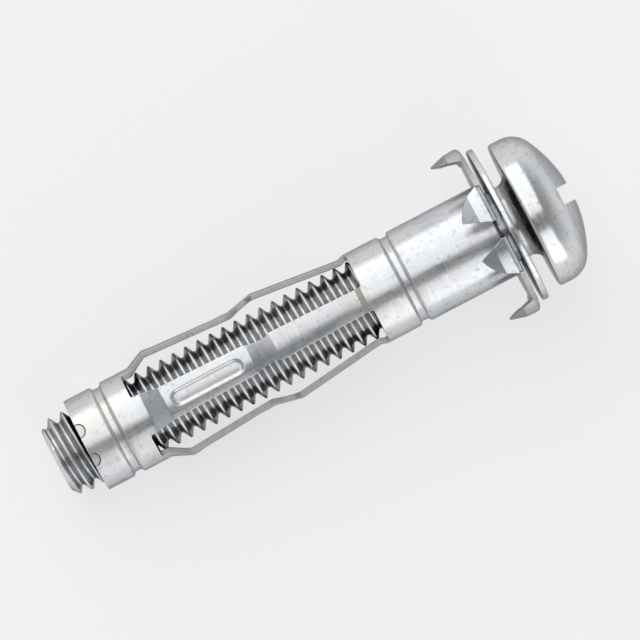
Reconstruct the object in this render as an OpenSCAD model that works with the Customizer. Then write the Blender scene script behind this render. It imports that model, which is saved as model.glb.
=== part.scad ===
// Hollow wall anchor: a slotted sheet-metal sleeve with a toothed flange and four pre-bent legs,
// a nut held in its far end, a loose washer and a pan-head machine screw.
//
// The anchor lies along X with its head towards +X. The origin is on its axis, on the face of the
// flange that bears on the wall. Turning the screw draws the nut in and folds the legs outwards.

/* [Screw] */
// Nominal thread diameter
thread_d = 6; // [5:0.25:8]
// Thread pitch
pitch = 1; // [0.8:0.05:1.25]
// Length from the underside of the head to the tip
screw_len = 37.6; // [36:0.1:60]
// Length of the thread, from the tip
thread_len = 27.4; // [14:0.2:28.4]
// Chamfer on the tip, measured along the axis
tip_chamfer = 0.55; // [0.3:0.05:1]
// Diameter of the plain shank
shank_d = 5.5; // [5.2:0.05:5.8]
// Fillet between shank and head
neck_fillet = 0.8; // [0.2:0.05:1]

/* [Screw head] */
// Diameter of the head
head_d = 11.3; // [9:0.1:14]
// Height of the head
head_h = 3.9; // [3.4:0.02:5]
// Radius of the domed top
dome_r = 9.8; // [8:0.1:14]
// Radius that blends the dome into the side of the head
head_corner_r = 2; // [0.8:0.1:2.4]
// Edge radius under the head
head_edge_r = 0.25; // [0.1:0.05:0.5]
// Width of the driving slot
slot_w = 1.3; // [1:0.05:1.8]
// Depth of the driving slot
slot_depth = 1.07; // [0.8:0.01:1.6]
// Span of the cross recess at the level of the crown
cross_mouth = 7.3; // [6:0.1:8]
// Span of the cross recess at its floor
cross_floor = 4.5; // [3:0.1:5]
// Depth of that floor under the crown
cross_depth = 2.25; // [1.8:0.05:2.4]
// Depth of the recess at its pointed centre
cross_point = 2.9; // [2.6:0.05:3.2]
// Thickness of the recess wings
cross_wing = 1.1; // [0.8:0.05:1.3]

/* [Washer] */
// Outer diameter of the washer
washer_d = 12; // [10:0.1:16]
// Thickness of the washer
washer_t = 0.5; // [0.4:0.05:1.2]
// Radial play between shank and washer hole
washer_play = 0.45; // [0.2:0.05:0.6]
// Edge radius of the washer
washer_edge_r = 0.14; // [0.05:0.01:0.19]
// Free gap between flange and washer
washer_gap = 0.34; // [0.1:0.02:2]
// Free gap between washer and head
head_gap = 1.05; // [0.9:0.01:3]

/* [Sleeve] */
// Length of the sleeve from the bearing face of its flange to its end
sleeve_len = 33; // [30:0.1:60]
// Thickness of the sheet
sheet = 0.34; // [0.25:0.01:0.45]
// Radial gap between the thread and the bore of the tube
bore_gap = 0.21; // [0.2:0.01:0.4]
// Inner radius of the bend between tube and flange
bend_r = 0.1; // [0.05:0.01:0.3]
// Length of whole tube under the flange, before the windows start
front_tube = 10.36; // [9:0.02:13]
// Length of whole tube behind the windows
rear_tube = 4.46; // [4:0.02:8]

/* [Grooves] */
// Distance from the flange to the middle of the front groove
front_groove = 7.4; // [3:0.1:8.4]
// Width of a rolled groove at the surface
groove_w = 0.85; // [0.6:0.05:1.2]
// Width of its floor
groove_floor = 0.45; // [0.2:0.05:0.5]
// Depth of the groove
groove_depth = 0.25; // [0.1:0.01:0.3]
// Height of the ridge that it raises in the bore
ridge_h = 0.12; // [0.05:0.01:0.15]

/* [Legs] */
// Height of the two bulges over the tube
bulge_h = 0.64; // [0.3:0.02:1]
// Height of the valley behind the knee over the tube
valley_h = 0.19; // [0:0.01:0.25]
// Depth of the waist at the front end of the legs under the tube
waist_h = 0.16; // [0:0.01:0.17]
// Straight length at the rear end of a leg
rear_land = 0.64; // [0.3:0.02:1.5]
// Length of the ramp up to the rear bulge
rear_ramp = 1.4; // [1:0.05:2.5]
// Straight length at the front end of a leg
front_land = 0.14; // [0.05:0.01:0.5]
// Length of the step down to the waist
front_step = 0.5; // [0.3:0.05:1]
// Length of the slope from the waist up to the knee
front_slope = 6.7; // [5:0.1:9]
// Length of the ramp from the knee down to the valley
knee_ramp = 2; // [1.5:0.05:3]
// Width of a leg at its root
leg_root_w = 3; // [2.4:0.02:3.2]
// Width of a leg at the rear bulge
leg_rear_w = 2.54; // [2.2:0.02:3]
// Width of a leg in the valley
leg_valley_w = 2.26; // [1.8:0.02:3]
// Width of a leg where it folds
leg_fold_w = 1.82; // [1.4:0.02:2]
// Width of a leg at the knee
leg_knee_w = 2.16; // [1.6:0.02:2.4]
// Width of a leg at its front end
leg_front_w = 1.86; // [1.6:0.02:2.4]
// Distance from the knee back to the narrow part where a leg folds
fold_inset = 0.45; // [0.1:0.05:0.8]
// Length of the narrow part
fold_len = 0.75; // [0.4:0.05:1.2]
// Length over which a leg widens again behind the fold
fold_blend = 1.1; // [0.5:0.05:2]

/* [Stiffening bead] */
// Width of the pressed bead on each leg
bead_w = 1.1; // [0.6:0.05:1.4]
// Depth of the bead
bead_depth = 0.12; // [0.05:0.01:0.13]
// Distance from the rear bulge to the bead
bead_rear = 0.5; // [0.2:0.02:1.5]
// Distance from the valley to the bead
bead_front = 0.66; // [0.2:0.02:1.5]

/* [Flange] */
// Diameter of the flange
flange_d = 13.2; // [12:0.1:16]
// Width of the four slots that part the flange into petals
petal_gap = 1.36; // [0.8:0.02:2]
// Length of the teeth that grip the wall
tooth_len = 2.04; // [1.2:0.02:2.6]
// Width of a tooth at its root
tooth_w = 2.75; // [1.8:0.05:3]
// Distance of the point of a tooth from the slot, measured across
tooth_lean = 0.78; // [0.3:0.02:1.2]
// Bow of the outer edge of a tooth
tooth_bow = 0.38; // [0:0.02:0.5]
// Thickness of a tooth
tooth_t = 0.33; // [0.25:0.01:0.4]
// Step between the rim of the flange and the teeth
tooth_step = 0.05; // [0.02:0.01:0.15]
// Length over which the teeth keep their thickness before they are bevelled
tooth_straight = 0.86; // [0.4:0.02:1]
// Thickness that the bevels leave at the point and along the bowed edge
tooth_point_t = 0.09; // [0.05:0.01:0.2]

/* [Nut] */
// Length of the nut
nut_len = 2.05; // [1.8:0.05:3]
// Radial gap between nut and tube
nut_gap = 0.02; // [0.01:0.01:0.05]
// Radial clearance between the threads
thread_gap = 0.08; // [0.07:0.01:0.1]
// Chamfer on the ends of the nut
nut_chamfer = 0.15; // [0.05:0.01:0.2]
// Diameter of the round notches in the end of the tube
notch_d = 1; // [0.7:0.05:1.2]
// Depth of the notches
notch_depth = 0.56; // [0.55:0.02:1]
// Spacing of the two notches of a pair
notch_pitch = 2.28; // [1.6:0.02:2.8]
// Gap between a lug of the nut and its notch
lug_gap = 0.03; // [0.02:0.01:0.06]
// Distance of the face of a lug under the surface of the tube
lug_inset = 0.05; // [0.02:0.01:0.15]

/* [Hidden] */
$fn = 96;

steel = [0.80, 0.81, 0.82];
bright = [0.87, 0.88, 0.88];

play = 0.01; // what the crest stays under its nominal radius
bury = 0.1; // what one solid runs into another that it joins
over = 0.3; // what a cutter stands over the surface that it cuts

// Thread form: the flats on crest and root, and the height between them
crest_flat = pitch / 8;
root_flat = pitch / 5;
thread_h = 0.6 * pitch;
crest_r = thread_d / 2 - play;
root_r = crest_r - thread_h;
tip_r = root_r + bury;
steps = 20; // sides of one turn

// Radii of the tube
bore_r = thread_d / 2 + bore_gap;
tube_r = bore_r + sheet;
flange_r = flange_d / 2;
tooth_out_r = flange_r - tooth_step;
tooth_in_r = tooth_out_r - tooth_t;
beyond = 2 * flange_r; // reach of a cutter that goes right through

// Places along the axis, positive towards the head
washer_z = sheet + washer_gap;
head_z = washer_z + washer_t + head_gap;
crown_z = head_z + head_h;
tip_z = head_z - screw_len;
shank_z = tip_z + thread_len;
nut_z = -sleeve_len;
rear_groove = sleeve_len - nut_len - groove_w / 2;

// Bends of a leg, from front to rear
window_front = -front_tube;
waist_z = window_front - front_land - front_step;
knee_z = waist_z - front_slope;
fold_z = knee_z - fold_inset;
valley_z = knee_z - knee_ramp;
window_rear = rear_tube - sleeve_len;
rear_bulge_z = window_rear + rear_land + rear_ramp;

// Points of an arc about c, from angle a0 to angle a1
function arc(c, r, a0, a1, n = 10) =
    [for (i = [0 : n]) let (a = a0 + (a1 - a0) * i / n) c + r * [cos(a), sin(a)]];

function reversed(list) = [for (i = [len(list) - 1 : -1 : 0]) list[i]];

// Rows [z, r] of a rolled groove about z, where low is the radius of its floor
function groove_rows(z, high, low) = [
    [z + groove_w / 2, high],
    [z + groove_floor / 2, low],
    [z - groove_floor / 2, low],
    [z - groove_w / 2, high],
];

// Rows [z, r] of the bent legs, where r0 is the radius of the tube's own wall
function leg_rows(r0) = [
    [window_front - front_land, r0],
    [waist_z, r0 - waist_h],
    [knee_z, r0 + bulge_h],
    [valley_z, r0 + valley_h],
    [rear_bulge_z, r0 + bulge_h],
    [window_rear + rear_land, r0],
];

// Rows of one side of the sheet from the flange bend to the end of the tube
function wall_rows(r0, dip) = concat(
    [[-bend_r, r0]],
    groove_rows(-front_groove, r0, r0 - dip),
    leg_rows(r0),
    groove_rows(-rear_groove, r0, r0 - dip),
    [[-sleeve_len, r0]]
);

function rows_to_profile(rows) = [for (p = rows) [p[1], p[0]]];

// Half widths [z, w] of a leg seen from outside
function leg_plan() = [
    [window_front + beyond, leg_front_w / 2],
    [waist_z, leg_front_w / 2],
    [knee_z, leg_knee_w / 2],
    [fold_z, leg_fold_w / 2],
    [fold_z - fold_len, leg_fold_w / 2],
    [fold_z - fold_len - fold_blend, leg_valley_w / 2],
    [rear_bulge_z, leg_rear_w / 2],
    [window_rear + rear_land, leg_root_w / 2],
    [window_rear - beyond, leg_root_w / 2],
];

// A closed outline from one row of half widths
function both_sides(rows) = concat(
    [for (p = rows) [p[1], p[0]]],
    reversed([for (p = rows) [-p[1], p[0]]])
);

// Extrudes a side outline, drawn as [across, along the axis], right through the anchor
module through() {
    rotate([90, 0, 90])
        linear_extrude(height = 2 * beyond, center = true)
            children();
}

// Repeats what acts on two opposite sides, a quarter turn round
module all_round() {
    children();
    rotate([0, 0, 90])
        children();
}

// Turns what is drawn upright so that its axis lies along X
module laid_down() {
    rotate([0, 90, 0])
        children();
}

// Flange, tube and legs as one turned shell of even wall
module shell() {
    bend = [tube_r + bend_r, -bend_r];
    rotate_extrude()
        polygon(concat(
            [[flange_r, sheet], [flange_r, 0]],
            arc(bend, bend_r, 90, 180, 4),
            rows_to_profile(wall_rows(tube_r, groove_depth)),
            reversed(rows_to_profile(wall_rows(bore_r, ridge_h))),
            arc(bend, bend_r + sheet, 180, 90, 8)
        ));
}

// What is cut away between the legs
module windows() {
    difference() {
        translate([0, 0, window_rear])
            cylinder(r = beyond, h = window_front - window_rear);
        all_round()
            through()
                polygon(both_sides(leg_plan()));
    }
}

// The slots that part the flange into four petals, down to the tube
module petal_slots() {
    difference() {
        all_round()
            translate([-beyond, -petal_gap / 2, -bend_r])
                cube([2 * beyond, petal_gap, bend_r + sheet + over]);
        translate([0, 0, -over])
            cylinder(r = tube_r, h = 2 * over + sheet);
    }
}

// The bowed edge of a tooth, as points [across, z] from its point to its heel on the rim
function bowed_edge() =
    let (point = [petal_gap / 2 + tooth_lean, -tooth_len], heel = [petal_gap / 2 + tooth_w, 0])
    let (edge = heel - point, outward = [edge[1], -edge[0]] / norm(edge))
    [for (i = [0 : 8]) let (t = i / 8) point + t * edge + 4 * t * (1 - t) * tooth_bow * outward];

// Outer radius of the teeth at height z, where they are bevelled towards their points
function tooth_out(z) =
    let (fall = max(0, -z - tooth_straight) / (tooth_len - tooth_straight))
    tooth_out_r - fall * (tooth_t - tooth_point_t);

// Side outline of a pair of teeth, one at each edge of a slot
module tooth_pair_outline() {
    root = petal_gap / 2;
    for (side = [0, 1])
        mirror([side, 0])
            polygon(concat([[root, sheet / 2], [root, 0]], bowed_edge(), [[root + tooth_w, sheet / 2]]));
}

// Outline of two opposite pairs seen edge on: a bevel inside the bowed edge takes what lies nearer the axis
module tooth_profile_outline() {
    inside = [for (p = bowed_edge()) [sqrt(pow(tooth_out(p[1]), 2) - pow(p[0], 2)) - tooth_point_t, p[1]]];
    for (side = [0, 1])
        mirror([side, 0])
            polygon(concat(
                [[flange_r, sheet / 2], [flange_r, -tooth_len]],
                inside,
                [[inside[len(inside) - 1][0], sheet / 2]]
            ));
}

// The ring of metal turned down from the rim, bevelled on its outside towards the points
module tooth_ring() {
    rotate_extrude()
        polygon([
            [tooth_in_r, sheet / 2],
            [tooth_out_r, sheet / 2],
            [tooth_out_r, -tooth_straight],
            [tooth_out(-tooth_len), -tooth_len],
            [tooth_in_r, -tooth_len],
        ]);
}

module teeth() {
    intersection() {
        tooth_ring();
        all_round()
            intersection() {
                through()
                    tooth_pair_outline();
                rotate([0, 0, 90])
                    through()
                        tooth_profile_outline();
            }
    }
}

// Side outline of a bead: a straight run with round ends, smaller by inset all round
module bead_outline(inset) {
    w = bead_w - 2 * inset;
    front = valley_z - bead_front - bead_w / 2;
    rear = rear_bulge_z + bead_rear + bead_w / 2;
    for (z = [front, rear])
        translate([0, z])
            circle(d = w, $fn = 40);
    translate([-w / 2, rear])
        square([w, front - rear]);
}

// The slope that the beads lie on, as a turned band between two heights over the sheet's face
module slope_band(r0, from, to) {
    front = [r0 + valley_h, valley_z];
    rear = [r0 + bulge_h, rear_bulge_z];
    rotate_extrude()
        polygon([
            front + [from, 0],
            front + [to, 0],
            rear + [to, 0],
            rear + [from, 0],
        ]);
}

module bead_grooves() {
    intersection() {
        slope_band(tube_r, -bead_depth, over);
        all_round()
            through()
                bead_outline(0);
    }
}

module bead_ridges() {
    intersection() {
        slope_band(bore_r, -bead_depth, bury);
        all_round()
            through()
                bead_outline(bead_depth / 2);
    }
}

// Side outline of the notches in the tube's end, smaller by inset all round
module notch_outline(inset) {
    r = notch_d / 2 - inset;
    top = nut_z + notch_depth - notch_d / 2;
    for (side = [-1, 1])
        translate([side * notch_pitch / 2, top]) {
            circle(r = r, $fn = 40);
            translate([-r, -notch_d])
                square([2 * r, notch_d]);
        }
}

module sleeve() {
    color(steel)
        laid_down()
            difference() {
                union() {
                    difference() {
                        shell();
                        windows();
                        petal_slots();
                    }
                    teeth();
                    bead_ridges();
                }
                bead_grooves();
                through()
                    notch_outline(0);
            }
}

// A point of the thread at step i, dz further along the axis and r from it
function thread_at(i, dz, r) =
    let (a = 360 * i / steps)
    [r * cos(a), r * sin(a), tip_z + pitch * i / steps + dz];

// Radius of the crest at height z over the tip, where it runs out onto the shank over the last turn
function run_out(z) =
    let (share = min(1, max(0, (thread_len - pitch - z) / pitch)))
    root_r + share * (crest_r - root_r);

// A threaded rod from step i0 to step i1, counted from the tip and grown by gap; fading says if it runs out
module threaded_rod(i0, i1, gap, fading) {
    // each step holds the two edges of the root flat and the two edges of the crest flat
    dz = [0, root_flat, (pitch + root_flat - crest_flat) / 2, (pitch + root_flat + crest_flat) / 2];
    n = i1 - i0;
    function top(i, k) = fading ? run_out(pitch * i / steps + dz[k]) : crest_r;
    points = concat(
        [for (i = [i0 : i1]) for (k = [0 : 3]) thread_at(i, dz[k], (k < 2 ? root_r : top(i, k)) + gap)],
        [for (i = [i1 + 1 : i1 + steps]) thread_at(i, 0, root_r + gap)],
        [[0, 0, tip_z + pitch * (i0 / steps + 0.5)], [0, 0, tip_z + pitch * (i1 / steps + 0.5)]]
    );
    // index of edge k of step j, where edge 4 is the next turn's edge 0
    low = 4 * (n + 1);
    function at(j, k) = k < 4 ? 4 * j + k : (j + steps <= n ? 4 * (j + steps) : low + j + steps - n - 1);
    first = len(points) - 2;
    last = len(points) - 1;
    start_loop = concat([for (j = [0 : steps]) at(j, 0)], [for (k = [3 : -1 : 0]) at(0, k)]);
    end_loop = concat([for (k = [0 : 3]) at(n, k)], [for (j = [steps : -1 : 0]) at(n + j - steps, 4)]);
    polyhedron(
        points = points,
        faces = concat(
            [for (j = [0 : n - 1]) for (k = [0 : 3]) each [
                [at(j, k), at(j, k + 1), at(j + 1, k)],
                [at(j + 1, k), at(j, k + 1), at(j + 1, k + 1)],
            ]],
            [for (q = [0 : len(start_loop) - 2]) [first, start_loop[q], start_loop[q + 1]]],
            [for (q = [0 : len(end_loop) - 2]) [last, end_loop[q], end_loop[q + 1]]]
        )
    );
}

module nut() {
    r = bore_r - nut_gap;
    color(bright)
        laid_down()
            difference() {
                union() {
                    translate([0, 0, nut_z + nut_chamfer])
                        cylinder(r = r, h = nut_len - 2 * nut_chamfer);
                    translate([0, 0, nut_z])
                        cylinder(r1 = r - nut_chamfer, r2 = r, h = nut_chamfer);
                    translate([0, 0, nut_z + nut_len - nut_chamfer])
                        cylinder(r1 = r, r2 = r - nut_chamfer, h = nut_chamfer);
                    lugs();
                }
                threaded_rod(nut_step - 2 * steps, nut_step + nut_steps, thread_gap, false);
            }
}

// Lugs of the nut that fill the notches of the tube
module lugs() {
    intersection() {
        difference() {
            translate([0, 0, nut_z])
                cylinder(r = tube_r - lug_inset, h = nut_len - nut_chamfer);
            translate([0, 0, nut_z - over])
                cylinder(r = bore_r - 2 * nut_chamfer, h = nut_len + 2 * over);
        }
        through()
            notch_outline(lug_gap);
    }
}

module washer() {
    hole_r = shank_d / 2 + washer_play;
    out_r = washer_d / 2;
    e = washer_edge_r;
    low = washer_z + e;
    high = washer_z + washer_t - e;
    color(bright)
        laid_down()
            rotate_extrude()
                polygon(concat(
                    arc([hole_r + e, low], e, 180, 270, 4),
                    arc([out_r - e, low], e, 270, 360, 4),
                    arc([out_r - e, high], e, 0, 90, 4),
                    arc([hole_r + e, high], e, 90, 180, 4)
                ));
}

// Shank and head as one turned profile
module screw_blank() {
    shank_r = shank_d / 2;
    head_r = head_d / 2;
    dome_z = crown_z - dome_r;
    corner_x = head_r - head_corner_r;
    corner_z = dome_z + sqrt(pow(dome_r - head_corner_r, 2) - pow(corner_x, 2));
    blend = atan2(corner_z - dome_z, corner_x);
    rotate_extrude()
        polygon(concat(
            [[0, shank_z - pitch], [root_r - bury, shank_z - pitch], [shank_r, shank_z]],
            arc([shank_r + neck_fillet, head_z - neck_fillet], neck_fillet, 180, 90, 6),
            arc([head_r - head_edge_r, head_z + head_edge_r], head_edge_r, 270, 360, 4),
            arc([corner_x, corner_z], head_corner_r, 0, blend, 8),
            arc([0, dome_z], dome_r, blend, 90, 12)
        ));
}

// What the turned bar leaves of the thread: a flat end and its chamfer
module tip_limit() {
    wide = crest_r + tip_chamfer;
    rotate_extrude()
        polygon([
            [0, tip_z],
            [tip_r, tip_z],
            [tip_r + wide - root_r, tip_z + (wide - root_r) * tip_chamfer / (crest_r - tip_r)],
            [tip_r + wide - root_r, shank_z + pitch],
            [0, shank_z + pitch],
        ]);
}

// Tapered wings and pointed floor of the cross recess, which meets the slot on the crown
module cross_recess() {
    flare = (cross_mouth - cross_floor) / (2 * cross_depth) * over;
    for (turn = [0, 90])
        rotate([90, 0, turn])
            linear_extrude(height = cross_wing, center = true)
                polygon([
                    [-cross_mouth / 2 - flare, crown_z + over],
                    [-cross_floor / 2, crown_z - cross_depth],
                    [0, crown_z - cross_point],
                    [cross_floor / 2, crown_z - cross_depth],
                    [cross_mouth / 2 + flare, crown_z + over],
                ]);
}

module screw() {
    color(bright)
        laid_down()
            difference() {
                union() {
                    screw_blank();
                    intersection() {
                        threaded_rod(-steps - 2, end_step, 0, true);
                        tip_limit();
                    }
                }
                translate([-head_d, -slot_w / 2, crown_z - slot_depth])
                    cube([2 * head_d, slot_w, head_h]);
                cross_recess();
            }
}

// Steps of the thread: at the end of the nut, through the nut, and at the end of the full crest
nut_step = round(steps * (nut_z - tip_z) / pitch);
nut_steps = ceil(steps * (nut_len / pitch + 1));
end_step = round(steps * (thread_len / pitch - 1.5));

sleeve();
nut();
washer();
screw();
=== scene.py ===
import math

import bmesh
import bpy
from mathutils import Matrix, Vector


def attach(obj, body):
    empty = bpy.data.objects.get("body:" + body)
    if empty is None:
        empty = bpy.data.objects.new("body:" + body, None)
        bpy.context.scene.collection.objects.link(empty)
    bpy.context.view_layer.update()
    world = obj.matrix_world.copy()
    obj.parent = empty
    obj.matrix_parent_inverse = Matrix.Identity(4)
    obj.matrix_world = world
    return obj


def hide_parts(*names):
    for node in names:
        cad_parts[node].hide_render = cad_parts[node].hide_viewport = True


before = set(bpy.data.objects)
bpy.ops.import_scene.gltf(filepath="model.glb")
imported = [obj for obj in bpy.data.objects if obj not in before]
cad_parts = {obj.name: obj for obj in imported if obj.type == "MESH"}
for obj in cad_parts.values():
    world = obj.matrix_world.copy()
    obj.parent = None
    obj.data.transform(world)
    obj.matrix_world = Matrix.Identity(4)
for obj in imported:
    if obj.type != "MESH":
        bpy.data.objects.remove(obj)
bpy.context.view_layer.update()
scene = bpy.context.scene

MM = 0.001
TINY = 1e-6  # mm within which two places along the axis are the same

# ---------------------------------------------------------------- sizes in millimetres, as in the source

TUBE_R = 3.55
SHEET = 0.34
BEND_R = 0.1
SLEEVE_END = -33.0
WINDOW_FRONT, WINDOW_REAR = -10.36, -28.54
WAIST, KNEE, VALLEY, REAR_BULGE = -11.0, -17.7, -19.7, -26.5
REAR_FOOT = -27.9
FRONT_LAND, WAIST_H, BULGE_H, VALLEY_H = 0.14, 0.16, 0.64, 0.19
FRONT_GROOVE, REAR_GROOVE = -7.4, -30.525
GROOVE_HALF, GROOVE_FLOOR_HALF, GROOVE_DEPTH, RIDGE_H = 0.425, 0.225, 0.25, 0.12
LEG_HALF = [
    (-10.0, 0.93), (WAIST, 0.93), (KNEE, 1.08), (-18.15, 0.91), (-18.9, 0.91), (-20.0, 1.13),
    (REAR_BULGE, 1.27), (REAR_FOOT, 1.5), (-29.5, 1.5),
]
PETAL_HALF = 0.68
FLANGE_R = 6.6
TOOTH_OUT, TOOTH_IN = 6.55, 6.22
TOOTH_LEN, TOOTH_W, TOOTH_LEAN, TOOTH_BOW = 2.04, 2.75, 0.78, 0.38
TOOTH_STRAIGHT, TOOTH_POINT_T, TOOTH_BEND = 0.86, 0.09, 0.08
TOOTH_BLUNT = 0.985  # share of its length at which a tooth's point is cut off blunt
BEAD_HALF, BEAD_DEPTH = 0.55, 0.12
BEAD_ENDS = (-20.91, -25.45)
NOTCH_R, NOTCH_DEPTH, NOTCH_OFF = 0.53, 0.6, 1.14  # 0.5 and 0.56 in the source, which hardly show
PITCH, TIP, CREST_R, ROOT_R, TIP_CHAMFER = 1.0, -35.37, 2.99, 2.39, 0.55
SHANK_R, SHANK_Z = 2.75, -7.97
HEAD_Z, CROWN, HEAD_R = 2.23, 6.128, 5.65
DOME_R, HEAD_CORNER_R, HEAD_EDGE_R, NECK_FILLET = 9.8, 2.0, 0.25, 0.8
SLOT_W, SLOT_DEPTH = 1.3, 1.07
CROSS_MOUTH, CROSS_FLOOR, CROSS_DEPTH, CROSS_POINT, CROSS_WING = 7.3, 4.5, 2.25, 2.9, 1.1
# the wings' draft and the round core are of this model alone
WING_DRAFT, CORE_MOUTH_R, CORE_FLOOR_R, CORE_DEPTH, CORE_POINT = 0.12, 1.5, 0.8, 2.78, 3.02
OVER = 0.3  # what a cutter stands over the crown
SLOT_REACH = 7  # how far the slot's cutter goes to each side
WASHER_Z, WASHER_T, WASHER_R, WASHER_HOLE, WASHER_EDGE = 0.68, 0.5, 6.0, 3.2, 0.14


def lerp(a, b, t):
    return a + (b - a) * t


def smooth(t):
    t = min(1.0, max(0.0, t))
    return t * t * (3 - 2 * t)


def table(rows, x):
    """Linear interpolation in rows of (x, value), where x falls."""
    if x >= rows[0][0]:
        return rows[0][1]
    for (x0, v0), (x1, v1) in zip(rows, rows[1:]):
        if x >= x1:
            return lerp(v0, v1, (x - x0) / (x1 - x0))
    return rows[-1][1]


def arc(cx, cy, r, a0, a1, n):
    """Points of an arc in degrees."""
    angles = [math.radians(lerp(a0, a1, i / n)) for i in range(n + 1)]
    return [(cx + r * math.cos(a), cy + r * math.sin(a)) for a in angles]


def rounded(points, radius, n=5):
    """A line of points with its corners curved; radius is one number or one for each inner corner."""
    out = [points[0]]
    for i in range(1, len(points) - 1):
        r = radius if isinstance(radius, (int, float)) else radius[i - 1]
        p = Vector(points[i])
        a, b = Vector(points[i - 1]) - p, Vector(points[i + 1]) - p
        turn = math.pi - a.angle(b)
        cut = min(r * math.tan(turn / 2), 0.45 * a.length, 0.45 * b.length)
        s, e = p + a.normalized() * cut, p + b.normalized() * cut
        for k in range(n + 1):
            t = k / n
            out.append(tuple((1 - t) ** 2 * s + 2 * t * (1 - t) * p + t * t * e))
    out.append(points[-1])
    return out


def around(x, r, angle):
    """A point at x along the axis, r from it, and angle round it from +Z towards +Y."""
    return (x * MM, r * math.sin(angle) * MM, r * math.cos(angle) * MM)


def new_object(name, verts, faces):
    mesh = bpy.data.meshes.new(name)
    mesh.from_pydata(verts, [], faces)
    mesh.validate()
    mesh.update()
    o = bpy.data.objects.new(name, mesh)
    scene.collection.objects.link(o)
    return o


def clean(o, weld=1e-7):
    """Welds doubles, drops empty faces and turns all faces outwards."""
    bm = bmesh.new()
    bm.from_mesh(o.data)
    bmesh.ops.remove_doubles(bm, verts=bm.verts, dist=weld)
    bmesh.ops.dissolve_degenerate(bm, edges=bm.edges, dist=weld)
    bmesh.ops.recalc_face_normals(bm, faces=bm.faces)
    bm.to_mesh(o.data)
    bm.free()


def shade(o, angle=40):
    """Smooth shading, with an edge kept sharp where its faces meet at more than angle or differ in finish."""
    bm = bmesh.new()
    bm.from_mesh(o.data)
    for f in bm.faces:
        f.smooth = True
    for e in bm.edges:
        finishes = {f.material_index for f in e.link_faces}
        e.smooth = e.calc_face_angle(0) <= math.radians(angle) and len(finishes) < 2
    bm.to_mesh(o.data)
    bm.free()


# ---------------------------------------------------------------- sleeve

CORNER = 0.22  # radius in the corners of the windows
CORNER_FADE = 1.2  # length over which the columns of points swing back from a window's corner
NOTCH_TOP = SLEEVE_END + NOTCH_DEPTH
NOTCH_SEAM = 0.02  # half the width that the columns across a notch have above it
NOTCH_FADE = 1.3  # length over which they swing back from there
BEAD_SOFT = 0.06  # how far a bead's edge fades out past its outline
BEAD_EDGE = 0.2  # width over which it falls to its full depth

# columns of points from the middle of a leg outwards: places across a strip as wide as a flange slot, shares
# of the way on to the leg's edge, even or crowded at the bead's edge, and the cells from there to the middle
# of the window
STRIP = [0, 0.14, 0.28, 0.38, 0.44, 0.5, 0.56, 0.62]
EVEN = [1 / 6, 2 / 6, 3 / 6, 4 / 6, 5 / 6, 1]
CROWDED = [0.09, 0.18, 0.27, 0.36, 0.45, 1]
SIDE_CELLS = 7
EDGE_IN = len(STRIP)  # column at the strip's edge, counted from the middle of the leg
EDGE_OUT = EDGE_IN + len(EVEN)  # column at the leg's edge
MIDDLE = EDGE_OUT + SIDE_CELLS  # column in the middle of the window, and of the leg in a whole row
# place of the leg columns' edge where the tube is whole, and at NECK_START in front of the legs, and the
# length over which one passes into the other
TUBE_EDGE, NECK_EDGE, NECK_START, NECK_FADE = 1.2, 0.98, -9, 4
ROW_STEP, LEG_STEP = 0.55, 0.32  # what rows of points are apart at most, in front of the windows and after

# a tooth laid flat: (across, along) at its root, its heel and its point
ROOT, HEEL = Vector((PETAL_HALF, 0)), Vector((PETAL_HALF + TOOTH_W, 0))
POINT = Vector((PETAL_HALF + TOOTH_LEAN, -TOOTH_LEN))


def outer_line():
    """Outer profile (x, r) of the tube and legs, from the flange to the end, with the bends rounded."""
    def groove(x):
        return [
            (x + GROOVE_HALF, TUBE_R),
            (x + GROOVE_FLOOR_HALF, TUBE_R - GROOVE_DEPTH),
            (x - GROOVE_FLOOR_HALF, TUBE_R - GROOVE_DEPTH),
            (x - GROOVE_HALF, TUBE_R),
        ]
    legs = [
        (WINDOW_FRONT - FRONT_LAND, TUBE_R),
        (WAIST, TUBE_R - WAIST_H),
        (KNEE, TUBE_R + BULGE_H),
        (VALLEY, TUBE_R + VALLEY_H),
        (REAR_BULGE, TUBE_R + BULGE_H),
        (REAR_FOOT, TUBE_R),
    ]
    points = [(-BEND_R, TUBE_R), *groove(FRONT_GROOVE), *legs, *groove(REAR_GROOVE), (SLEEVE_END, TUBE_R)]
    radii = [0.1, 0.12, 0.12, 0.1, 0.3, 0.4, 0.5, 0.6, 0.5, 0.4, 0.1, 0.12, 0.12, 0.1]
    return rounded(points, radii)


def ridge(x):
    """How much lower than the groove's depth the ridge is that a groove at x raises in the bore."""
    for g in (FRONT_GROOVE, REAR_GROOVE):
        if abs(x - g) < 0.5:
            return GROOVE_DEPTH - RIDGE_H
    return 0.0


def fill_rows(line, step):
    """Adds points so that none are further apart than step(x)."""
    out = [line[0]]
    for p, q in zip(line, line[1:]):
        n = max(1, math.ceil(abs(q[0] - p[0]) / step((p[0] + q[0]) / 2)))
        out += [(lerp(p[0], q[0], k / n), lerp(p[1], q[1], k / n)) for k in range(1, n + 1)]
    return out


def insert_rows(line, places):
    """Adds to the line a point at each place that it lacks."""
    for s in places:
        if min(abs(p[0] - s) for p in line) > TINY:
            for i, (p, q) in enumerate(zip(line, line[1:])):
                if p[0] > s > q[0]:
                    line.insert(i + 1, (s, lerp(p[1], q[1], (s - p[0]) / (q[0] - p[0]))))
                    break


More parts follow.
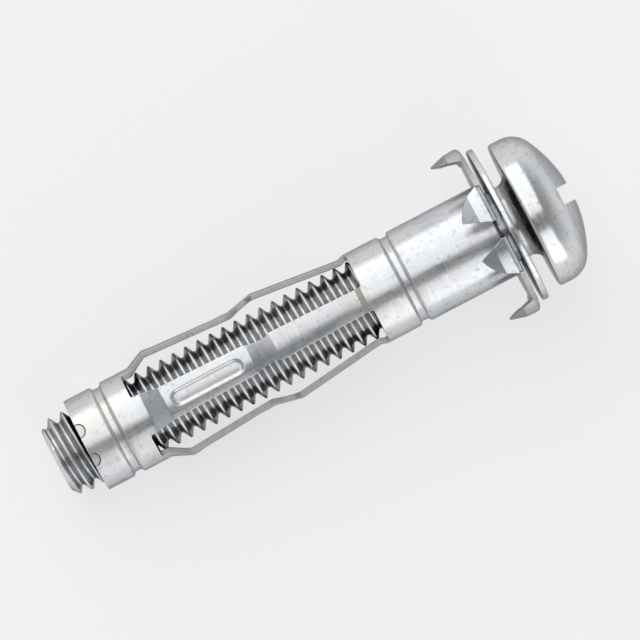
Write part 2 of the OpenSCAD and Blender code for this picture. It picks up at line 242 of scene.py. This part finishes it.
def stations():
    """Where along the axis a row has to lie: at corners, notches, beads and changes in a leg's width."""
    out = [WINDOW_FRONT, WINDOW_REAR, NOTCH_TOP]
    out += [WINDOW_FRONT - CORNER * k for k in (0.06, 0.2, 0.4, 0.65, 1)]
    out += [WINDOW_REAR + CORNER * k for k in (0.06, 0.2, 0.4, 0.65, 1)]
    out += [NOTCH_TOP - NOTCH_R * (1 - math.cos(math.radians(a))) for a in (15, 30, 45, 60, 75, 90)]
    out += [
        end + BEAD_HALF * sign * k
        for end, sign in zip(BEAD_ENDS, (1, -1))
        for k in (0, 0.3, 0.55, 0.75, 0.88, 1, 1.15)
    ]
    return out + [x for x, _ in LEG_HALF[1:-1]]


def leg_half(x):
    """Half width of a leg, or of the strip that carries it on in the tube."""
    w = table(LEG_HALF, x)
    for end, inside in ((WINDOW_FRONT, -1), (WINDOW_REAR, 1)):
        d = (x - end) * inside
        if 0 <= d < CORNER:
            w += CORNER - math.sqrt(CORNER ** 2 - (CORNER - d) ** 2)
        elif -CORNER_FADE < d < 0:
            w += CORNER * (1 + d / CORNER_FADE)
    return w


def notch_half(x):
    """Half width of a notch in the end of the tube, or None above it."""
    depth = NOTCH_TOP - x
    if depth < -1e-9:
        return None
    if depth >= NOTCH_R:
        return NOTCH_R
    return math.sqrt(max(NOTCH_SEAM ** 2, NOTCH_R ** 2 - (NOTCH_R - depth) ** 2))


def column_edges(x, notched):
    """How far across the strip and the next columns reach at x, to a leg's edge or both edges of a notch."""
    half = notch_half(x)
    if notched and half is not None:
        return NOTCH_OFF - half, NOTCH_OFF + half
    if x < NECK_START:
        outer_edge = leg_half(x)
    else:
        outer_edge = lerp(NECK_EDGE, TUBE_EDGE, smooth((x - NECK_START) / NECK_FADE))
    if notched and x < REAR_GROOVE - 0.3:
        near = smooth((x - NOTCH_TOP) / NOTCH_FADE)
        return lerp(NOTCH_OFF - NOTCH_SEAM, PETAL_HALF, near), lerp(NOTCH_OFF + NOTCH_SEAM, outer_edge, near)
    return PETAL_HALF, outer_edge


def half_columns(inner_edge, outer_edge, share, r):
    """Angles of the columns from the middle of a leg to the middle of the next window."""
    s = inner_edge / PETAL_HALF
    across = [y * s for y in STRIP] + [inner_edge] + [lerp(inner_edge, outer_edge, f) for f in share]
    angles = [math.asin(min(1, y / r)) for y in across]
    last = angles[-1]
    return angles + [lerp(last, math.pi / 4, (k + 1) / SIDE_CELLS) for k in range(SIDE_CELLS)]


def bead_drop(x, y):
    """Depth of the pressed bead at x along the axis and y across the leg."""
    front, rear = BEAD_ENDS
    cx = min(front, max(rear, x))
    d = math.hypot(x - cx, y)
    return BEAD_DEPTH * smooth((BEAD_HALF + BEAD_SOFT - d) / BEAD_EDGE)


def row(outer, inner, edges, share, side):
    """Points on both faces round a quarter, from window to window; outer and inner are the faces' (x, r)."""
    (x_out, r_out), (x_in, r_in) = outer, inner
    outer_angles = half_columns(*edges, share, r_out)
    inner_angles = half_columns(*edges, share, r_in)
    pressed = WINDOW_REAR < x_out < WINDOW_FRONT
    turn = side * math.pi / 2
    points = []
    for k in range(-MIDDLE, MIDDLE + 1):
        sign = -1 if k < 0 else 1
        a_out, a_in = sign * outer_angles[abs(k)], sign * inner_angles[abs(k)]
        drop = bead_drop(x_out, r_out * math.sin(a_out)) if pressed else 0
        points.append((around(x_out, r_out - drop, a_out + turn), around(x_in, r_in - drop, a_in + turn)))
    return points


def flange_rows():
    """Rows (kind, [points of a side]) of the flange, from the flat part's rim inwards, and of the bend."""
    flat_rs = [TOOTH_IN - TOOTH_BEND, 5.75, 5.3, 4.8, 4.3, 3.9]
    rows = []
    for r in flat_rs:
        heel = lerp(TUBE_EDGE, PETAL_HALF + TOOTH_W, smooth((r - TUBE_R) / (flat_rs[0] - TUBE_R)))
        sides = [row((0, r), (SHEET, r), (PETAL_HALF, heel), EVEN, s) for s in range(4)]
        rows.append(("flange", sides))
    for k in range(9):
        a = math.radians(90 + 90 * k / 8)
        outer, inner = (
            (-BEND_R + b * math.sin(a), TUBE_R + BEND_R + b * math.cos(a))
            for b in (BEND_R, BEND_R + SHEET)
        )
        sides = [row(outer, inner, (PETAL_HALF, TUBE_EDGE), EVEN, s) for s in range(4)]
        rows.append(("flange" if k < 4 else "tube", sides))
    return rows


def tube_rows():
    """Rows (kind, [points of a side]) of the tube and the legs, down to the notched end."""
    line = fill_rows(outer_line(), lambda x: ROW_STEP if x > WINDOW_FRONT else LEG_STEP)
    insert_rows(line, stations())
    rows = []
    for x, r in line[1:]:
        r_in = r - SHEET + ridge(x) * (TUBE_R - r) / GROOVE_DEPTH
        share = CROWDED if WINDOW_REAR < x < WINDOW_FRONT else EVEN
        if WINDOW_REAR + TINY < x <= WINDOW_FRONT + TINY:
            kind = "legs"
        else:
            kind = "tube" if notch_half(x) is None else "notch"
        sides = [row((x, r), (x, r_in), column_edges(x, s % 2 == 0), share, s) for s in range(4)]
        rows.append((kind, sides))
    return rows


def present(kind, side, column):
    """Whether a side has a cell between this column and the next; kind is that of the row in front of it."""
    k = min(abs(column - MIDDLE), abs(column + 1 - MIDDLE))  # cell number from the middle of the leg
    if kind == "flange":
        return k >= EDGE_IN
    if kind == "legs":
        return k < EDGE_OUT
    if kind == "notch":
        return side % 2 == 1 or not (EDGE_IN <= k < EDGE_OUT)
    return True


def rim_rows():
    """Rows of the rim from a tooth to the middle of the petal, as places (x, r, angle) on both faces."""
    rows = []
    for r in (6.3, 6.48, FLANGE_R):
        start = math.asin(HEEL.x / r)
        angles = [lerp(start, math.pi / 4, k / SIDE_CELLS) for k in range(SIDE_CELLS + 1)]
        rows.append([((0, r, a), (SHEET, r, a)) for a in angles])
    return rows


def tooth_out(x):
    """Outer radius of a tooth at x along the axis, which the bevel takes down to the point."""
    fall = max(0.0, (-x - TOOTH_STRAIGHT) / (TOOTH_LEN - TOOTH_STRAIGHT))
    return lerp(TOOTH_OUT, TOOTH_IN + TOOTH_POINT_T, fall)


def inner_angle(left, right, f):
    """Angle on a tooth's inner face, which a bevel narrows along the bowed edge."""
    a0 = math.asin(left.x / TOOTH_IN)
    depth = math.sqrt(tooth_out(right.y) ** 2 - right.x ** 2) - TOOTH_POINT_T
    a1 = math.acos(min(1, depth / TOOTH_IN))
    return lerp(a0, max(a0, a1), f)


def bowed_edge(depth):
    """The point of a tooth's bowed edge at a depth below the flange."""
    edge = HEEL - POINT
    outward = Vector((edge.y, -edge.x)).normalized()
    c = -4 * TOOTH_BOW * outward.y
    t = (c - TOOTH_LEN + math.sqrt((TOOTH_LEN - c) ** 2 + 4 * c * (TOOTH_LEN - depth))) / (2 * c)
    return POINT + t * edge + 4 * t * (1 - t) * TOOTH_BOW * outward


def tooth_rows():
    """Rows of a tooth from its bend to its point: (whether ground, [places (x, r, angle) on both faces])."""
    shares = [k / len(EVEN) for k in range(len(EVEN) + 1)]
    rows = []
    for k in range(1, 7):
        a = math.radians(90 - 90 * k / 6)
        faces = [
            (-TOOTH_BEND + b * math.sin(a), TOOTH_IN - TOOTH_BEND + b * math.cos(a))
            for b in (TOOTH_BEND, TOOTH_BEND + TOOTH_OUT - TOOTH_IN)
        ]
        across = [lerp(ROOT.x, HEEL.x, f) for f in shares]
        rows.append((False, [[(x, r, math.asin(y / r)) for x, r in faces] for y in across]))
    levels = [lerp(TOOTH_BEND, TOOTH_STRAIGHT, k / 6) for k in range(1, 7)]
    levels += [lerp(TOOTH_STRAIGHT, TOOTH_BLUNT * TOOTH_LEN, k / 9) for k in range(1, 10)]
    for depth in levels:
        left, right = POINT.lerp(ROOT, 1 - depth / TOOTH_LEN), bowed_edge(depth)
        x, r = -depth, tooth_out(-depth)
        places = [
            ((x, TOOTH_IN, inner_angle(left, right, f)), (x, r, math.asin(lerp(left.x, right.x, f) / r)))
            for f in shares
        ]
        rows.append((depth > TOOTH_STRAIGHT + 0.01, places))
    return rows


class Sheet:
    """A sheet of metal, laid out as cells whose corners each have a point on both of its faces."""

    def __init__(self):
        self.outer, self.inner, self.cells, self.ground, self.known = [], [], [], [], {}

    def corner(self, outer, inner):
        """The number of the corner with these points, which is new unless they are known."""
        key = tuple(round(v, 9) for v in (*outer, *inner))
        if key not in self.known:
            self.known[key] = len(self.outer)
            self.outer.append(outer)
            self.inner.append(inner)
        return self.known[key]

    def cell(self, a, b, c, d, ground=False):
        self.cells.append((a, b, c, d))
        self.ground.append(ground)

    def carry_on(self, last, places, sign, turn, ground=False):
        """Adds a row of corners and cells after the last one; sign mirrors the places, turn turns them."""
        here = [self.corner(*(around(x, r, sign * a + turn) for x, r, a in faces)) for faces in places]
        for k in range(len(here) - 1):
            quad = (last[k], here[k], here[k + 1], last[k + 1])
            self.cell(*(quad if sign > 0 else reversed(quad)), ground)
        return here

    def build(self, name):
        """The mesh of both faces and the edges between them; cut and ground faces are in material 1."""
        n = len(self.outer)
        faces = []
        for cell in self.cells:
            faces += [cell, tuple(i + n for i in reversed(cell))]
        skin = len(faces)
        edges = dict.fromkeys(pair for cell in self.cells for pair in zip(cell, cell[1:] + cell[:1]))
        faces += [(b, a, a + n, b + n) for a, b in edges if (b, a) not in edges]
        o = new_object(name, self.outer + self.inner, faces)
        for f in o.data.polygons:
            f.material_index = int(f.index >= skin or (f.index % 2 == 1 and self.ground[f.index // 2]))
        return o


def make_sleeve():
    """The sleeve as one sheet: the flange, tube and legs row by row, then the rim and the teeth."""
    sheet = Sheet()
    rows = flange_rows() + tube_rows()
    grid = []  # the corners' numbers by row, side and column; a side ends with the next one's first corner
    for _, sides in rows:
        level = [[sheet.corner(outer, inner) for outer, inner in points[:-1]] for points in sides]
        grid.append([level[s] + [level[(s + 1) % 4][0]] for s in range(4)])
    for (kind, _), front, rear in zip(rows, grid, grid[1:]):
        for s in range(4):
            a, b = front[s], rear[s]
            for c in range(2 * MIDDLE):
                if present(kind, s, c):
                    sheet.cell(b[c], a[c], a[c + 1], b[c + 1])
    # the rim and the teeth carry on from the first row
    for s in range(4):
        turn = s * math.pi / 2
        for sign in (-1, 1):
            first = [grid[0][s][MIDDLE + sign * k] for k in range(MIDDLE + 1)]
            last = first[EDGE_OUT:]
            for places in rim_rows():
                last = sheet.carry_on(last, places, sign, turn)
            last = first[EDGE_IN:EDGE_OUT + 1]
            for ground, places in tooth_rows():
                last = sheet.carry_on(last, places, sign, turn, ground)
    return sheet.build("sleeve_sheet")


# ---------------------------------------------------------------- turned pieces

def lathe(name, profile, facets):
    """A turned solid from profile points (x, r), which start and end on the axis or close on themselves."""
    verts, faces = [], []
    for x, r in profile:
        for j in range(facets):
            verts.append(around(x, r, 2 * math.pi * j / facets))
    rows = len(profile)
    closed = profile[0][1] > 0
    for i in range(rows if closed else rows - 1):
        a, b = i * facets, ((i + 1) % rows) * facets
        for j in range(facets):
            k = (j + 1) % facets
            faces.append((a + j, b + j, b + k, a + k))
    o = new_object(name, verts, faces)
    clean(o)
    return o


def make_washer():
    e = WASHER_EDGE
    x0, x1 = WASHER_Z + e, WASHER_Z + WASHER_T - e
    between = (3.9, 4.6, 5.3)  # rings of points on the flat faces
    turned = (
        [(x, r) for r, x in arc(WASHER_HOLE + e, x0, e, 180, 270, 5)]
        + [(x0 - e, r) for r in between]
        + [(x, r) for r, x in arc(WASHER_R - e, x0, e, 270, 360, 5)]
        + [(x, r) for r, x in arc(WASHER_R - e, x1, e, 0, 90, 5)]
        + [(x1 + e, r) for r in reversed(between)]
        + [(x, r) for r, x in arc(WASHER_HOLE + e, x1, e, 90, 180, 5)]
    )
    return lathe("washer_turned", turned, facets=160)


def make_head():
    """The head, the neck's fillet and the plain shank, which reaches a little into the thread."""
    dome_x = CROWN - DOME_R
    corner_r = HEAD_R - HEAD_CORNER_R
    corner_x = dome_x + math.sqrt((DOME_R - HEAD_CORNER_R) ** 2 - corner_r ** 2)
    blend = math.degrees(math.atan2(corner_x - dome_x, corner_r))
    foot, full = SHANK_Z - 0.6, SHANK_Z - 0.45  # where the shank ends, and where it has its full radius
    profile = [(foot, 0), (foot, SHANK_R - 0.05), (full, SHANK_R)]
    profile += [(lerp(full, HEAD_Z - NECK_FILLET, k / 12), SHANK_R) for k in range(1, 12)]
    profile += [(x, r) for r, x in arc(SHANK_R + NECK_FILLET, HEAD_Z - NECK_FILLET, NECK_FILLET, 180, 90, 10)]
    profile += [(HEAD_Z, r) for r in (4.0, 4.5, 4.95)]
    profile += [(x, r) for r, x in arc(HEAD_R - HEAD_EDGE_R, HEAD_Z + HEAD_EDGE_R, HEAD_EDGE_R, 270, 360, 6)]
    profile += [(lerp(HEAD_Z + HEAD_EDGE_R, corner_x, k / 3), HEAD_R) for k in (1, 2)]
    profile += [(x, r) for r, x in arc(corner_r, corner_x, HEAD_CORNER_R, 0, blend, 14)]
    profile += [(x, max(r, 0)) for r, x in arc(0, dome_x, DOME_R, blend, 90, 22)[1:]]
    profile[-1] = (CROWN, 0)
    return lathe("screw_blank", profile, facets=144)


def prism(name, outline, turn):
    """A cutter from outline points (x, across, half thickness there), turned about the axis."""
    verts, faces = [], []
    n = len(outline)
    for side in (-1, 1):
        for x, y, half in outline:
            verts.append((x * MM, side * half * MM, y * MM))
    faces.append(tuple(range(n)))
    faces.append(tuple(reversed(range(n, 2 * n))))
    for i in range(n):
        k = (i + 1) % n
        faces.append((i, i + n, k + n, k))
    o = new_object(name, verts, faces)
    o.rotation_euler = (turn, 0, 0)
    bpy.context.view_layer.update()
    o.data.transform(o.matrix_world)
    o.rotation_euler = (0, 0, 0)
    clean(o)
    return o


def apply_modifiers(o):
    bpy.context.view_layer.update()
    depsgraph = bpy.context.evaluated_depsgraph_get()
    mesh = bpy.data.meshes.new_from_object(o.evaluated_get(depsgraph))
    o.modifiers.clear()
    o.data = mesh


def combine(o, other, operation):
    """A boolean of two meshes, at a thousand times their size, where the solver is surest."""
    for mesh in (o.data, other.data):
        mesh.transform(Matrix.Scale(1 / MM, 4))
    m = o.modifiers.new("boolean", "BOOLEAN")
    m.object = other
    m.operation = operation
    m.solver = "EXACT"
    apply_modifiers(o)
    o.data.transform(Matrix.Scale(MM, 4))
    bpy.data.objects.remove(other)


def make_thread():
    """The thread as one helical surface with capped ends, with the phase of the source's thread."""
    facets = 80
    shares = [0.0, 0.05, 0.1, 0.15, 0.2, 0.24, 0.32, 0.44, 0.51, 0.545, 0.6, 0.655, 0.69, 0.76, 0.88, 0.96]
    root_flat, flank, crest_end = 0.2, 0.3375, 0.6625  # in shares of the pitch, from the start of the root
    soft = 0.012  # step of the average that rounds the corners

    def height(q):
        """Share of the thread's height at q, a share of the pitch, with rounded corners."""
        def sharp(t):
            t = t % 1
            if t < root_flat:
                return 0.0
            if t < root_flat + flank:
                return (t - root_flat) / flank
            if t < crest_end:
                return 1.0
            return (1 - t) / flank
        return sum(sharp(q + soft * k) for k in range(-3, 4)) / 7

    steps = len(shares)
    end, end_r = SHANK_Z + 0.3, SHANK_R - 0.02
    run_out = 1.6  # length over which the thread fades into the shank
    turns = math.ceil((end - TIP) / PITCH) + 1
    rows = (turns + 2) * steps
    heights = [height(q) for q in shares]
    verts, kept = [], []
    for i in range(rows + steps):
        turn, step = divmod(i, steps)
        for j in range(facets):
            a = 2 * math.pi * j / facets
            x = TIP + PITCH * (turn - 2 + shares[step] + j / facets)
            r = lerp(ROOT_R, CREST_R, heights[step])
            inside = TIP < x < end
            x = min(max(x, TIP), end)
            r = lerp(r, end_r, smooth((x - (SHANK_Z - run_out)) / run_out))
            r = min(r, ROOT_R + (x - TIP) * (CREST_R - ROOT_R) / TIP_CHAMFER)
            verts.append((x * MM, r * math.sin(a) * MM, -r * math.cos(a) * MM))
            kept.append(inside)
    faces = []
    for i in range(rows):
        for j in range(facets):
            a, b = i * facets + j, (i + 1) * facets + j
            if j < facets - 1:
                quad = (a, a + 1, b + 1, b)
            elif i + 1 < rows:
                quad = (a, (i + steps) * facets, (i + 1 + steps) * facets, b)
            else:
                continue
            if any(kept[v] for v in quad):
                faces.append(quad)
    for x, r in ((TIP, ROOT_R), (end, end_r)):
        centre = len(verts)
        verts.append((x * MM, 0, 0))
        for j in range(facets):
            a = 2 * math.pi * j / facets
            verts.append((x * MM, r * math.sin(a) * MM, -r * math.cos(a) * MM))
        for j in range(facets):
            faces.append((centre, centre + 1 + j, centre + 1 + (j + 1) % facets))
    o = new_object("screw_thread", verts, faces)
    clean(o, weld=1e-6)
    return o


def make_screw():
    """Head, shank and thread in one mesh, with the slot, and the cross recess of two wings and a core."""
    far, above = CROWN + 1, CROWN + OVER
    bottom, half = CROWN - SLOT_DEPTH, SLOT_W / 2
    mouth = CROSS_MOUTH / 2 + OVER * (CROSS_MOUTH - CROSS_FLOOR) / (2 * CROSS_DEPTH)
    bed = CROWN - CROSS_DEPTH
    wing = [
        (x, y, CROSS_WING / 2 - WING_DRAFT * (CROWN - x) / CROSS_DEPTH)
        for x, y in (
            (above, -mouth), (bed, -CROSS_FLOOR / 2), (CROWN - CROSS_POINT, 0),
            (bed, CROSS_FLOOR / 2), (above, mouth),
        )
    ]
    core = [(above, 0), (above, CORE_MOUTH_R), (CROWN - CORE_DEPTH, CORE_FLOOR_R), (CROWN - CORE_POINT, 0)]
    corners = ((bottom, -SLOT_REACH), (bottom, SLOT_REACH), (far, SLOT_REACH), (far, -SLOT_REACH))
    drive = prism("drive", [(x, y, half) for x, y in corners], 0)
    for turn in (0, math.pi / 2):
        combine(drive, prism("wing", wing, turn), "UNION")
    # turned by half a facet, since the booleans fail where a corner of the core lies in a wing's middle plane
    facets = 48
    cone = lathe("core", core, facets)
    cone.data.transform(Matrix.Rotation(math.pi / facets, 4, "X"))
    combine(drive, cone, "UNION")
    head = make_head()
    combine(head, drive, "DIFFERENCE")
    combine(head, make_thread(), "UNION")
    clean(head, weld=1e-6)
    shade(head, 45)
    head.name = "screw_turned"
    return head


# ---------------------------------------------------------------- materials

EDGE_TINT = 0.4  # grey that the metal tends to where it is seen edge on
EDGE_SOFT = 0.06  # mm over which an edge is seen rounded and rubbed


def node(tree, kind, **values):
    """A new node; each value goes to the input of that name, or else to the node's own setting."""
    n = tree.nodes.new(kind)
    for key, value in values.items():
        if key in n.inputs:
            n.inputs[key].default_value = value
        else:
            setattr(n, key, value)
    return n


def grey(v):
    return (v, v, v)


def scaled(color, factors):
    return tuple(min(1, c * k) for c, k in zip(color, factors))


class Nodes:
    """Short ways to add to a material's nodes, each of which gives the socket that it ends in."""

    def __init__(self, tree):
        self.tree, self.link = tree, tree.links.new
        self.place = node(tree, "ShaderNodeTexCoord").outputs["Object"]

    def noise(self, scale, size, detail, roughness=0.55, turn=0):
        place = node(self.tree, "ShaderNodeMapping", Scale=scale, Rotation=(0, turn, turn))
        self.link(self.place, place.inputs["Vector"])
        grains = node(self.tree, "ShaderNodeTexNoise", Scale=size, Detail=detail, Roughness=roughness)
        self.link(place.outputs["Vector"], grains.inputs["Vector"])
        return grains.outputs["Fac"]

    def ramp(self, value, stops):
        r = node(self.tree, "ShaderNodeValToRGB")
        e = r.color_ramp.elements
        for pos, col in stops[1:-1]:
            e.new(pos).color = (*col, 1)
        e[0].position, e[0].color = stops[0][0], (*stops[0][1], 1)
        e[-1].position, e[-1].color = stops[-1][0], (*stops[-1][1], 1)
        self.link(value, r.inputs["Fac"])
        return r.outputs["Color"]

    def blend(self, kind, a, b, factor):
        mix = node(self.tree, "ShaderNodeMix", data_type="RGBA", blend_type=kind)
        if isinstance(factor, float):
            mix.inputs["Factor"].default_value = factor
        else:
            self.link(factor, mix.inputs["Factor"])
        self.link(a, mix.inputs["A"])
        self.link(b, mix.inputs["B"])
        return mix.outputs["Result"]

    def calc(self, kind, a, b):
        total = node(self.tree, "ShaderNodeMath", operation=kind)
        for value, socket in ((a, total.inputs[0]), (b, total.inputs[1])):
            if isinstance(value, (int, float)):
                socket.default_value = value
            else:
                self.link(value, socket)
        return total.outputs["Value"]

    def bump(self, height, depth, strength, normal):
        b = node(self.tree, "ShaderNodeBump", Strength=strength, Distance=depth * MM)
        self.link(height, b.inputs["Height"])
        self.link(normal, b.inputs["Normal"])
        return b.outputs["Normal"]

    def scratches(self):
        """Fine scratches in two directions."""
        line = [(0.485, grey(0)), (0.5, grey(1)), (0.515, grey(0))]
        return self.calc("ADD", *(
            self.ramp(self.noise((500, 60, 60), 1, 2, 0.5, turn), line)
            for turn in (0.5, -0.9)
        ))

    def edges(self):
        """Where an edge is rubbed, and the normal that rounds it."""
        soft = node(self.tree, "ShaderNodeBevel", samples=6, Radius=EDGE_SOFT * MM)
        flat = node(self.tree, "ShaderNodeNewGeometry")
        meet = node(self.tree, "ShaderNodeVectorMath", operation="DOT_PRODUCT")
        self.link(soft.outputs["Normal"], meet.inputs[0])
        self.link(flat.outputs["Normal"], meet.inputs[1])
        return self.ramp(meet.outputs["Value"], [(0.8, grey(1)), (0.97, grey(0))]), soft.outputs["Normal"]


def zinc_color(nodes, color, clouds, marks, painted_corner_shade, recess):
    """Cloudy colour with specks and streaks, and painted shade that darkens it in the corners."""
    base = nodes.ramp(clouds, [
        (0.3, scaled(color, (0.86, 0.91, 0.97))),
        (0.5, color),
        (0.7, scaled(color, (1.03, 1.0, 0.93))),
    ])
    specks = nodes.ramp(nodes.noise((1, 1, 1), 2400, 3), [(0.3, grey(0.72)), (0.44, grey(1))])
    base = nodes.blend("MULTIPLY", base, specks, 0.8)
    streaks = nodes.ramp(marks, [(0.3, grey(0.86)), (0.62, grey(1))])
    base = nodes.blend("MULTIPLY", base, streaks, 0.8)
    # painted shade: ambient occlusion darkens the colour in corners and recesses, where shade falls
    painted_shade_ao = node(nodes.tree, "ShaderNodeAmbientOcclusion", samples=8, only_local=False)
    painted_shade_ao.inputs["Distance"].default_value = recess * MM
    painted_shade_stops = [(0.2, grey(painted_corner_shade)), (0.55, grey(lerp(painted_corner_shade, 1, 0.7))), (0.9, grey(1))]
    return nodes.blend("MULTIPLY", base, nodes.ramp(painted_shade_ao.outputs["AO"], painted_shade_stops), 1.0)


def zinc(name, color, rough, painted_corner_shade, grain, lay, recess=0.5):
    """Zinc plate on steel: cloudy passivation, lay marks, fine scratches, painted shade in the corners and
    rubbed edges.

    rough is the middle roughness, painted_corner_shade the painted shade of the deepest corners, grain the
    scale of the fine grain, lay that of the tool marks along x, y and z, and recess how far in mm painted
    shade reaches into a corner.
    """
    m = bpy.data.materials.new(name)
    m.use_nodes = True
    nodes = Nodes(m.node_tree)
    bsdf = m.node_tree.nodes["Principled BSDF"]
    bsdf.inputs["Metallic"].default_value = 1
    bsdf.inputs["Specular Tint"].default_value = (*grey(EDGE_TINT), 1)

    clouds = nodes.noise((1, 1, 1), 240, 5)
    marks = nodes.noise(lay, 1, 3, 0.6)
    fine = nodes.noise((1, 1, 1), grain, 4, 0.6)
    scratch = nodes.scratches()
    rubbed, normal = nodes.edges()

    base = zinc_color(nodes, color, clouds, marks, painted_corner_shade, recess)
    bright = nodes.ramp(clouds, [(pos, scaled(color, grey(k))) for pos, k in ((0, 1.18), (1, 1.24))])
    nodes.link(nodes.blend("MIX", base, bright, rubbed), bsdf.inputs["Base Color"])

    # marks and clouds lie about 0.5, so 0.19 takes their middle out again
    spread = nodes.calc("ADD", nodes.calc("MULTIPLY", marks, 0.16), nodes.calc("MULTIPLY", clouds, 0.22))
    plain = nodes.calc("ADD", spread, rough - 0.19)
    worn = nodes.calc("SUBTRACT", plain, nodes.calc("MULTIPLY", rubbed, 0.08))
    scratched = nodes.calc("SUBTRACT", worn, nodes.calc("MULTIPLY", scratch, 0.05))
    nodes.link(nodes.calc("MAXIMUM", scratched, 0.1), bsdf.inputs["Roughness"])

    normal = nodes.bump(marks, 0.006, 0.3, normal)
    normal = nodes.bump(fine, 0.005, 0.35, normal)
    nodes.link(nodes.bump(scratch, 0.003, 0.2, normal), bsdf.inputs["Normal"])
    return m


sleeve_zinc = zinc("zinc_sleeve", (0.70, 0.71, 0.725), 0.29, 0.32, 5200, (300, 4200, 4200))
sheared_zinc = zinc("zinc_sheared", (0.46, 0.465, 0.475), 0.42, 0.32, 7000, (2600, 2600, 2600))
screw_zinc = zinc("zinc_screw", (0.74, 0.745, 0.75), 0.23, 0.22, 6000, (5200, 700, 700), 0.9)
washer_zinc = zinc("zinc_washer", (0.76, 0.77, 0.775), 0.23, 0.35, 4800, (900, 1500, 1500))
nut_zinc = zinc("zinc_nut", (0.60, 0.605, 0.61), 0.34, 0.35, 5200, (900, 900, 900))


def dress(o, mats, body, cad_node):
    """Gives a mesh its materials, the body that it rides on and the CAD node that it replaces."""
    for m in mats:
        o.data.materials.append(m)
    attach(o, body)
    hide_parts(cad_node)


sleeve = make_sleeve()
clean(sleeve)
shade(sleeve, 40)
dress(sleeve, [sleeve_zinc, sheared_zinc], "sleeve_body", "sleeve")

washer = make_washer()
shade(washer, 40)
dress(washer, [washer_zinc], "washer_body", "washer")

screw = make_screw()
dress(screw, [screw_zinc], "screw_body", "screw")

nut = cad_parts["nut"]
nut.data.materials.clear()
nut.data.materials.append(nut_zinc)

# ---------------------------------------------------------------- floor, light and camera

FLOOR_GLOW = 0.6  # share of the floor's look that is plain white
PHOTO_ANGLE = -27.7  # degrees that the camera is turned by, to show the anchor as it is drawn
VIEW_WIDTH, VIEW_HEIGHT = 0.045714, 0.5  # width of the picture at the anchor, and the camera's height over it


def paper_white():
    """The floor's white, part of which shows to the camera and in the metal without lighting anything."""
    m = bpy.data.materials.new("floor_white")
    m.use_nodes = True
    t = m.node_tree
    paper = t.nodes["Principled BSDF"]
    paper.inputs["Base Color"].default_value = (0.96, 0.96, 0.96, 1)
    paper.inputs["Roughness"].default_value = 0.9
    ray = node(t, "ShaderNodeLightPath")
    seen = node(t, "ShaderNodeMath", operation="MAXIMUM")
    through = node(t, "ShaderNodeMath", operation="MAXIMUM")
    share = node(t, "ShaderNodeMath", operation="MULTIPLY")
    share.inputs[1].default_value = FLOOR_GLOW
    glow = node(t, "ShaderNodeEmission", Color=(1, 1, 1, 1))
    mix = node(t, "ShaderNodeMixShader")
    link = t.links.new
    link(ray.outputs["Is Camera Ray"], seen.inputs[0])
    link(ray.outputs["Is Glossy Ray"], seen.inputs[1])
    link(seen.outputs["Value"], through.inputs[0])
    link(ray.outputs["Is Transmission Ray"], through.inputs[1])
    link(through.outputs["Value"], share.inputs[0])
    link(share.outputs["Value"], mix.inputs["Fac"])
    link(paper.outputs["BSDF"], mix.inputs[1])
    link(glow.outputs["Emission"], mix.inputs[2])
    link(mix.outputs["Shader"], t.nodes["Material Output"].inputs["Surface"])
    return m


def pale_sky():
    """A world that is pale up to the horizon and darker overhead."""
    world = bpy.data.worlds.new("world")
    world.use_nodes = True
    t = world.node_tree
    place = node(t, "ShaderNodeTexCoord")
    split = node(t, "ShaderNodeSeparateXYZ")
    fade = node(t, "ShaderNodeValToRGB")
    fade.color_ramp.elements[0].color = (0.86, 0.86, 0.87, 1)
    fade.color_ramp.elements[1].color = (0.2, 0.2, 0.205, 1)
    t.links.new(place.outputs["Generated"], split.inputs["Vector"])
    t.links.new(split.outputs["Z"], fade.inputs["Fac"])
    t.links.new(fade.outputs["Color"], t.nodes["Background"].inputs["Color"])
    t.nodes["Background"].inputs["Strength"].default_value = 1
    return world


def softbox(name, place, aim, size, power):
    """A rectangular lamp at place that points at aim; its long side lies along the anchor."""
    light = bpy.data.lights.new(name, "AREA")
    light.shape = "RECTANGLE"
    light.size, light.size_y = size
    light.energy = power
    o = bpy.data.objects.new(name, light)
    scene.collection.objects.link(o)
    o.location = place
    o.rotation_euler = (Vector(aim) - Vector(place)).to_track_quat("-Z", "X").to_euler()


# the floor leans as the anchor does on it, on its flange and the rear bulge of its legs
lean = math.atan((FLANGE_R - TUBE_R - BULGE_H) / -REAR_BULGE)
bpy.ops.mesh.primitive_plane_add(size=2.4, location=(0, 0, -FLANGE_R * MM), rotation=(0, lean, 0))
floor = bpy.context.object
floor.name = "floor"
floor.data.materials.append(paper_white())

middle = (-0.014, 0, 0)
softbox("key", (-0.03, 0.36, 0.48), middle, (1.1, 0.5), 1.95)
softbox("fill", (0.05, -0.45, 0.22), middle, (0.60, 0.18), 0.36)
scene.world = pale_sky()
scene.view_settings.view_transform = "Standard"

camera = bpy.data.cameras.new("camera")
camera.sensor_width = 36
camera.lens = camera.sensor_width * VIEW_HEIGHT / VIEW_WIDTH
camera.clip_start = 0.01
camera_object = bpy.data.objects.new("camera", camera)
camera_object.location = (-0.01407, 0.00018, VIEW_HEIGHT)
camera_object.rotation_euler = (0, 0, math.radians(PHOTO_ANGLE))
scene.collection.objects.link(camera_object)
scene.camera = camera_object
